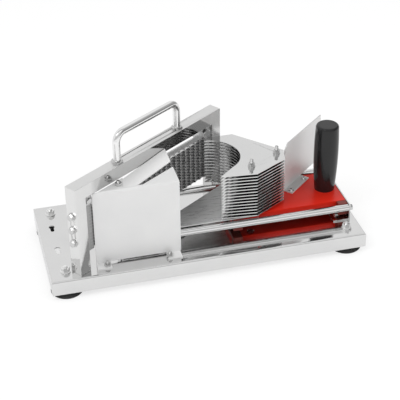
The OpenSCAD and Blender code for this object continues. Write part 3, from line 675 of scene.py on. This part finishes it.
def blades():
    """Flat strips with a waved edge, their flat faces in a dark steel of painted shade. Each wave is
    ground to a bright hollow from above.
    """
    s = Solid()
    boxes = solids("blades", portal)
    pins = [(low + high) / 2 for low, high in solids("blade_pins", portal)]
    turns = [2 * math.pi * k / PIN_HOLE_SIDES for k in range(PIN_HOLE_SIDES)]
    hole = [(PIN_HOLE_R * math.cos(a), PIN_HOLE_R * math.sin(a)) for a in turns]
    cuts = blade_cuts(boxes[0][0].x, boxes[0][1].x)
    last = len(cuts) - 2
    for low, high in boxes:
        where = at(0, 0, (low.z + high.z) / 2, portal)
        half = (high.z - low.z) / 2
        points = []
        for way, depth, ground in cuts:
            edge = low.y + depth
            points += [(way, edge, -half), (way, high.y, -half), (way, high.y, half),
                       (way, edge + ground, half), (way, edge, TIP_T - half)]
        first = s.add(where, points)
        for j in range(last + 1):
            a, b = first + ROW * j, first + ROW * (j + 1)
            for k in range(ROW):
                if j in (0, last) and k in (UNDER, TOP):
                    continue
                if k == GROUND:
                    s.second.append(len(s.faces))
                s.faces.append((a + k, a + (k + 1) % ROW, b + (k + 1) % ROW, b + k))
        s.faces.append(tuple(range(first + ROW - 1, first - 1, -1)))
        s.faces.append(tuple(range(first + ROW * (last + 1), first + ROW * (last + 2))))
        # The flat faces at both ends, with the pin's hole
        for j, pin in zip((0, last), pins):
            a, b = first + ROW * j, first + ROW * (j + 1)
            up = s.add(where, [(pin.x + x, pin.y + y, half) for x, y in hole])
            down = s.add(where, [(pin.x + x, pin.y + y, -half) for x, y in hole])
            s.holed((a + 3, b + 3, b + 2, a + 2), up, PIN_HOLE_SIDES, 1)
            s.holed((a, b, b + 1, a + 1), down, PIN_HOLE_SIDES, -1)
            for k in range(PIN_HOLE_SIDES):
                on = (k + 1) % PIN_HOLE_SIDES
                s.faces.append((up + k, up + on, down + on, down + k))
    piece(s, "blade_set", "stand", "blades", mats=[blade_flat_painted_shade, blade_ground])


# World, floor and lamps. Metal mirrors a white tent. Its greys run from 0, ahead of the photo's
# camera, over the top to 1, behind it. Both its parts are a little greyer ahead and dim on the
# camera's side and on the right. The high part has a dark slit overhead.

TENT_LOW = [(0, 0.86), (0.4, 0.9), (0.58, 0.95), (0.68, 0.58), (0.9, 0.58), (0.96, 1), (1, 1)]
TENT_HIGH = [(0, 0.86), (0.445, 0.86), (0.475, 0.2), (0.515, 0.2), (0.55, 1), (0.66, 1),
             (0.72, 0.6), (1, 0.6)]
HIGH_FROM, HIGH_FULL = 0.7, 0.85
DIM, DIM_FROM, DIM_FULL = 0.4, 0.45, 0.75
AMBIENT = 0.7
MIRROR = ("Is Glossy Ray", "Is Transmission Ray")
CAMERA = ("Is Camera Ray",)
FLOOR_R, FLOOR_SIDES = 4, 64


def mix(tree, share, a, b):
    made = node(tree, "ShaderNodeMixShader")
    for source, target in zip((share, a, b), made.inputs):
        tree.links.new(source, target)
    return made.outputs[0]


def pick(tree, rays, inside, outside):
    """One shader for rays of the given kinds, another for all other rays."""
    path = node(tree, "ShaderNodeLightPath").outputs
    share = path[rays[0]]
    for ray in rays[1:]:
        share = combine(tree, "MAXIMUM", share, path[ray])
    return mix(tree, share, outside, inside)


def sky(tree, strength):
    return node(tree, "ShaderNodeBackground", Color=(1, 1, 1, 1), Strength=strength)


def add_world():
    """White for the camera, a painted tent for what metal mirrors, a plain glow for the rest."""
    world = bpy.data.worlds.new("studio")
    scene.world = world
    world.use_nodes = True
    tree = world.node_tree
    tree.nodes.clear()
    parts = node(tree, "ShaderNodeSeparateXYZ")
    tree.links.new(node(tree, "ShaderNodeTexCoord").outputs["Generated"], parts.inputs[0])
    way = parts.outputs
    turn = map_range(tree, combine(tree, "ARCTAN2", way["Z"], way["Y"]), 0, 1, 0, math.pi)
    strength = map_range(tree, way["X"], 1, DIM, DIM_FROM, DIM_FULL)
    walls = []
    for stops in (TENT_LOW, TENT_HIGH):
        wall = sky(tree, 1)
        greys = [(spot, (grey, grey, grey)) for spot, grey in stops]
        tree.links.new(color_ramp(tree, turn, greys), wall.inputs["Color"])
        tree.links.new(strength, wall.inputs["Strength"])
        walls.append(wall.outputs[0])
    tent = mix(tree, map_range(tree, way["Z"], 0, 1, HIGH_FROM, HIGH_FULL), *walls)
    seen = pick(tree, MIRROR, tent, sky(tree, AMBIENT).outputs[0])
    seen = pick(tree, CAMERA, sky(tree, 1).outputs[0], seen)
    tree.links.new(seen, node(tree, "ShaderNodeOutputWorld").inputs[0])


def matt(tree, grey, glow):
    """A pale floor that keeps shadows, lifted by a plain glow."""
    both = node(tree, "ShaderNodeAddShader")
    for source, target in zip((
            node(tree, "ShaderNodeBsdfDiffuse", Color=(grey, grey, grey, 1)),
            node(tree, "ShaderNodeEmission", Strength=glow)), both.inputs):
        tree.links.new(source.outputs[0], target)
    return both.outputs[0]


def add_floor():
    turns = [2 * math.pi * k / FLOOR_SIDES for k in range(FLOOR_SIDES)]
    rim = [(FLOOR_R * math.cos(a), FLOOR_R * math.sin(a), 0) for a in turns]
    mesh = bpy.data.meshes.new("floor")
    mesh.from_pydata(rim, [], [tuple(range(FLOOR_SIDES))])
    mat = bpy.data.materials.new("floor")
    mat.use_nodes = True
    tree = mat.node_tree
    tree.nodes.clear()
    shown = pick(tree, MIRROR, matt(tree, grey=0.75, glow=0.25), matt(tree, grey=0.8, glow=0))
    shown = pick(tree, CAMERA, matt(tree, grey=0.36, glow=0.7), shown)
    tree.links.new(shown, node(tree, "ShaderNodeOutputMaterial").inputs[0])
    mesh.materials.append(mat)
    floor = bpy.data.objects.new("floor", mesh)
    scene.collection.objects.link(floor)


def add_lamp(name, place, target, size, power, mirrored=False):
    data = bpy.data.lights.new(name, "AREA")
    data.shape = "RECTANGLE"
    data.size, data.size_y = size
    data.energy = power
    ob = bpy.data.objects.new(name, data)
    ob.location = place
    aim = Vector(target) - Vector(place)
    ob.rotation_euler = aim.to_track_quat("-Z", "Y").to_euler()
    ob.visible_camera = False
    ob.visible_glossy = mirrored
    scene.collection.objects.link(ob)


add_camera()
dress_nodes()
foot_studs()
end_bolts("post_bolt_set", "post_bolts", portal)
clamp_bolts()
carry_nuts()
through_bolts("cover", "stand", "cover_bolt", "cover_nut")
through_bolts("guard", "stand", "guard_bolts", "guard_nuts")
end_bolts("rod_bolt_set", "rod_bolts", deck)
bracket_bolts()
through_bolts("pusher", "carriage", "pusher_bolts", "pusher_nuts")
hand_guard_screws()
blades()
add_world()
add_floor()
add_lamp("key", (-1.1, -0.9, 1.7), (0, 0, 0.05), size=(1.1, 1.1), power=9)
add_lamp("side", (1.3, -0.8, 1.1), (0, 0, 0.08), size=(0.5, 1.0), power=4)
add_lamp("spark", (-0.9, -0.7, 1.7), (0, 0, 0.08), size=(0.4, 0.4), power=2.4, mirrored=True)
scene.view_settings.view_transform = "Standard"
